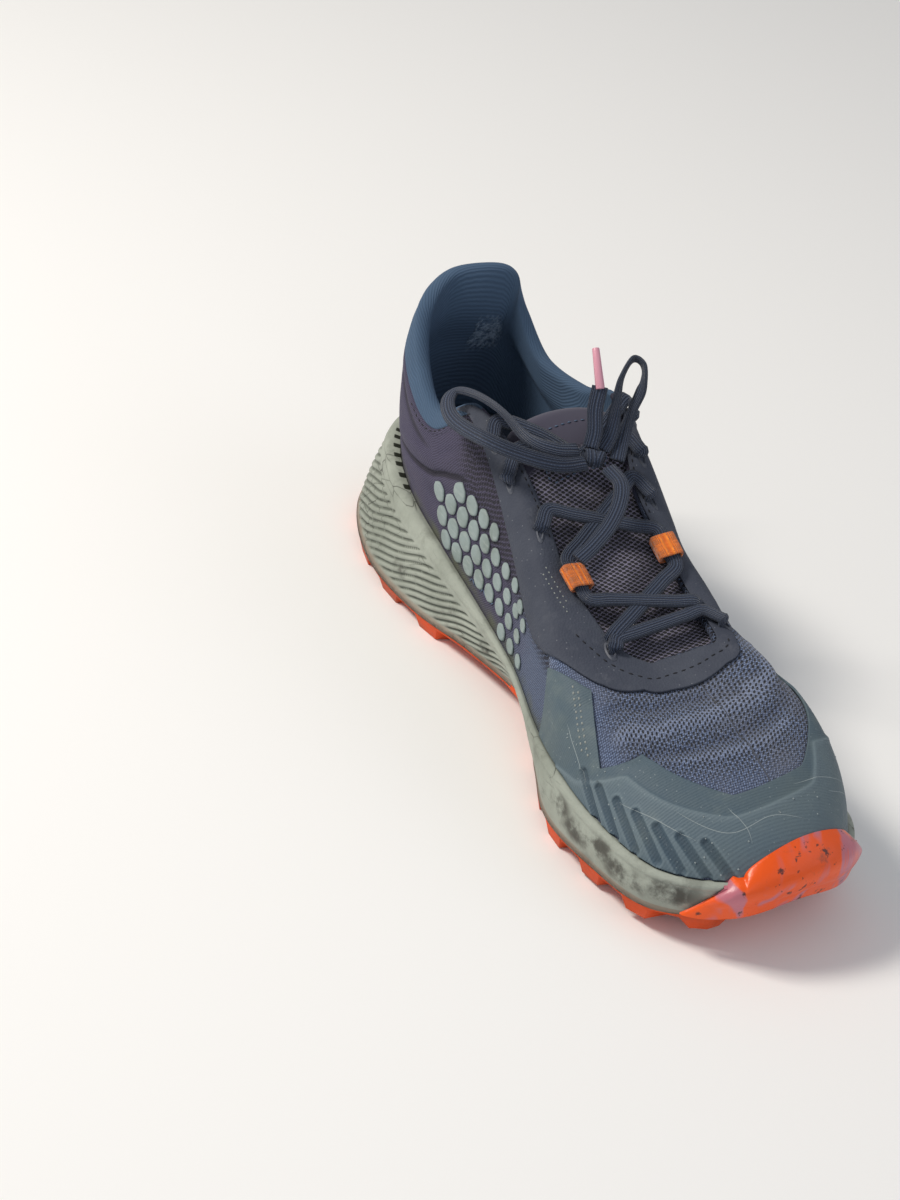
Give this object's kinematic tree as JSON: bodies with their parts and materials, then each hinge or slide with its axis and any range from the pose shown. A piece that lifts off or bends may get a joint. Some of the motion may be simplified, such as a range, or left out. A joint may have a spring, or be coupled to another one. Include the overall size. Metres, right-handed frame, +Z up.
{
  "type": "running shoe",
  "caption": "Worn right trail running shoe with a lugged sole, ribbed foam midsole, hollow mesh upper, toe guard, webbing lace loops and a tied bow",
  "frame": {"origin": "on the floor under the middle of the shoe's box", "axes": "+Z up, toe towards -Y, outer side of the right foot towards -X"},
  "size_m": [0.1043, 0.3134, 0.1331],
  "materials": {
    "midsole_foam": "moulded foam, dusty and scuffed",
    "outsole_rubber": "moulded tread rubber, dirty",
    "footbed": "knitted cover on foam",
    "upper_mesh": "engineered mesh, dusty",
    "toe_film": "welded film, scuffed",
    "eyestay_film": "welded film",
    "tongue_mesh": "coarse spacer mesh",
    "lace": "woven flat lace",
    "webbing": "woven webbing",
    "aglet": "heat-shrunk plastic sleeve"
  },
  "bodies": {
    "root": {"midsole": "midsole_foam", "outsole": "outsole_rubber", "toe_bumper": "outsole_rubber", "insole": "footbed", "upper": "upper_mesh", "toe_guard": "toe_film", "eyestay": "eyestay_film", "tongue": "tongue_mesh", "lace_crossing_front": "lace", "lace_crossing_middle": "lace", "lace_crossing_top": "lace", "webbing_loop_outer": "webbing", "webbing_loop_inner": "webbing", "lace_knot": "lace", "lace_bow_outer": "lace", "lace_bow_inner": "lace", "lace_end_inner": "lace", "lace_end_outer": "lace", "aglet": "aglet"}
  },
  "joints": []
}
